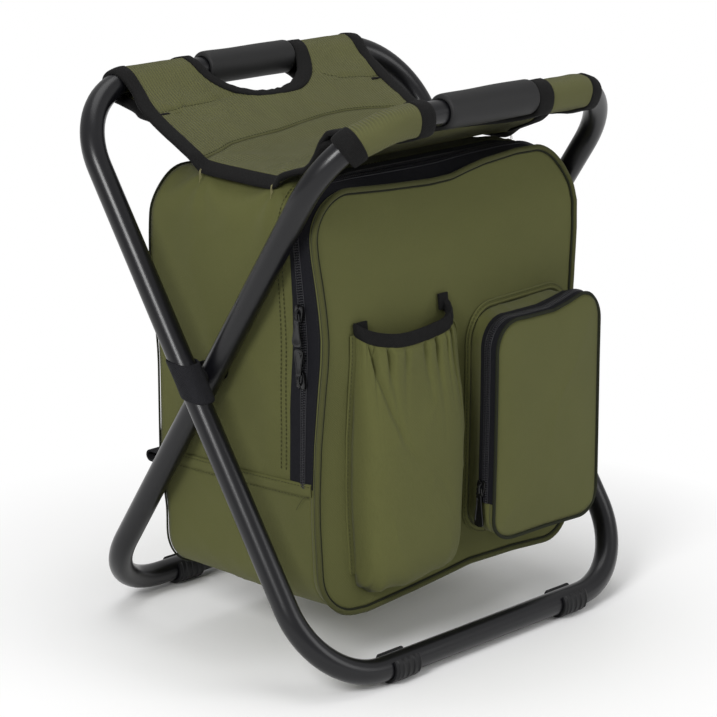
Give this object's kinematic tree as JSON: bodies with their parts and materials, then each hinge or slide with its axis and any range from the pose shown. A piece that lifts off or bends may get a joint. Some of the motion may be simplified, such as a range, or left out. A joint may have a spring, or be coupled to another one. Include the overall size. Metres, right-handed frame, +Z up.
{
  "type": "folding cooler stool",
  "caption": "Folding cooler stool: crossed black tube loops with foam grips, an olive sling seat, and a zipped insulated bag with a bottle pocket and a zipped pocket in front.",
  "frame": {"origin": "on the floor, under the middle of the stool", "axes": "+Z up; -Y towards the pockets; +X to the right of someone facing the pockets"},
  "size_m": [0.3808, 0.3028, 0.4375],
  "materials": {
    "frame_paint": "gloss",
    "rivet_steel": "satin",
    "grip_foam": "matte",
    "foot_rubber": "matte",
    "olive_cloth": "matte",
    "black_webbing": "matte",
    "zip_tape": "matte",
    "zip_metal": "gloss",
    "buckle_plastic": "matte",
    "wall_foam": "matte",
    "foil_lining": "satin"
  },
  "bodies": {
    "bag": {"bag_shell": "olive_cloth", "bag_insulation": "wall_foam", "bag_liner": "foil_lining", "front_piping": "black_webbing", "rear_piping": "black_webbing", "main_zip_rear_half": "zip_tape", "main_zip_lower_left": "zip_tape", "main_zip_lower_right": "zip_tape", "bottle_pocket": "olive_cloth", "bottle_pocket_elastic": "black_webbing", "pocket_body": "olive_cloth", "pocket_lower_piping": "black_webbing", "pocket_zip_rear_half": "zip_tape", "seat_panel": "olive_cloth", "shoulder_strap_left": "olive_cloth", "shoulder_strap_right": "olive_cloth", "ladder_lock_left": "buckle_plastic", "ladder_lock_right": "buckle_plastic", "strap_tail_left": "black_webbing", "strap_tail_right": "black_webbing", "strap_anchor_left": "olive_cloth", "strap_anchor_right": "olive_cloth", "pivot_tie_left": "black_webbing", "pivot_tie_right": "black_webbing", "pivot_rivet_left": "rivet_steel", "pivot_rivet_right": "rivet_steel", "pivot_washer_left": "foot_rubber", "pivot_washer_right": "foot_rubber", "seat_binding_left": "black_webbing", "seat_binding_right": "black_webbing"},
    "outer_frame": {"outer_loop_tube": "frame_paint", "rear_grip": "grip_foam", "outer_foot_left": "foot_rubber", "outer_foot_right": "foot_rubber", "rear_sleeve_left": "olive_cloth", "rear_sleeve_right": "olive_cloth", "pivot_collar_left": "black_webbing", "pivot_collar_right": "black_webbing"},
    "inner_frame": {"inner_loop_tube": "frame_paint", "front_grip": "grip_foam", "inner_foot_left": "foot_rubber", "inner_foot_right": "foot_rubber", "front_sleeve_left": "olive_cloth", "front_sleeve_right": "olive_cloth"},
    "front_flap": {"flap_panel": "olive_cloth", "flap_insulation": "wall_foam", "flap_liner": "foil_lining", "flap_piping": "black_webbing", "main_zip_flap_half": "zip_tape"},
    "cover_flap": {"pocket_cover": "olive_cloth", "pocket_zip_cover_half": "zip_tape", "pocket_cover_piping": "black_webbing"},
    "upper_slider": {"main_slider_upper": "zip_metal"},
    "upper_pull": {"main_pull_upper": "zip_metal"},
    "lower_slider": {"main_slider_lower": "zip_metal"},
    "lower_pull": {"main_pull_lower": "zip_metal"},
    "small_slider": {"pocket_slider": "zip_metal"},
    "small_pull": {"pocket_pull": "zip_metal"}
  },
  "joints": [
    {"name": "outer_fold", "type": "hinge", "parent": "bag", "child": "outer_frame", "pos_m": [0, 0, 0.22205], "axis": [1, 0, 0], "range_deg": [0, 26], "deforming": ["seat_panel", "seat_binding_left", "seat_binding_right"]},
    {"name": "inner_fold", "type": "hinge", "parent": "bag", "child": "inner_frame", "pos_m": [0, 0, 0.22205], "axis": [1, 0, 0], "range_deg": [-26, 0]},
    {"name": "flap_fold", "type": "hinge", "parent": "bag", "child": "front_flap", "pos_m": [0, -0.1075, 0.278], "axis": [1, 0, 0], "range_deg": [0, 100]},
    {"name": "cover_fold", "type": "hinge", "parent": "bag", "child": "cover_flap", "pos_m": [0.0735, -0.1418, 0.113], "axis": [1, 0, 0], "range_deg": [0, 110]},
    {"name": "upper_zip_travel", "type": "slide", "parent": "bag", "child": "upper_slider", "axis": [0, 0.0791, 0.9969], "range_m": [0, 0.025]},
    {"name": "lower_zip_travel", "type": "slide", "parent": "bag", "child": "lower_slider", "axis": [0, 0, 1], "range_m": [-0.07, 0]},
    {"name": "pocket_zip_travel", "type": "slide", "parent": "bag", "child": "small_slider", "axis": [0, 0, 1], "range_m": [0, 0.1]},
    {"name": "upper_pull_swing", "type": "hinge", "parent": "upper_slider", "child": "upper_pull", "pos_m": [-0.1471, -0.0817, 0.281], "axis": [0, 1, 0], "range_deg": [0, 110]},
    {"name": "lower_pull_swing", "type": "hinge", "parent": "lower_slider", "child": "lower_pull", "pos_m": [-0.1471, -0.084, 0.232], "axis": [0, 1, 0], "range_deg": [-170, 0]},
    {"name": "pocket_pull_swing", "type": "hinge", "parent": "small_slider", "child": "small_pull", "pos_m": [0.0074, -0.1288, 0.124], "axis": [0, 1, 0], "range_deg": [0, 40]}
  ],
  "couplings": [
    {"joint": "inner_fold", "follows": "outer_fold", "ratio": -1}
  ]
}
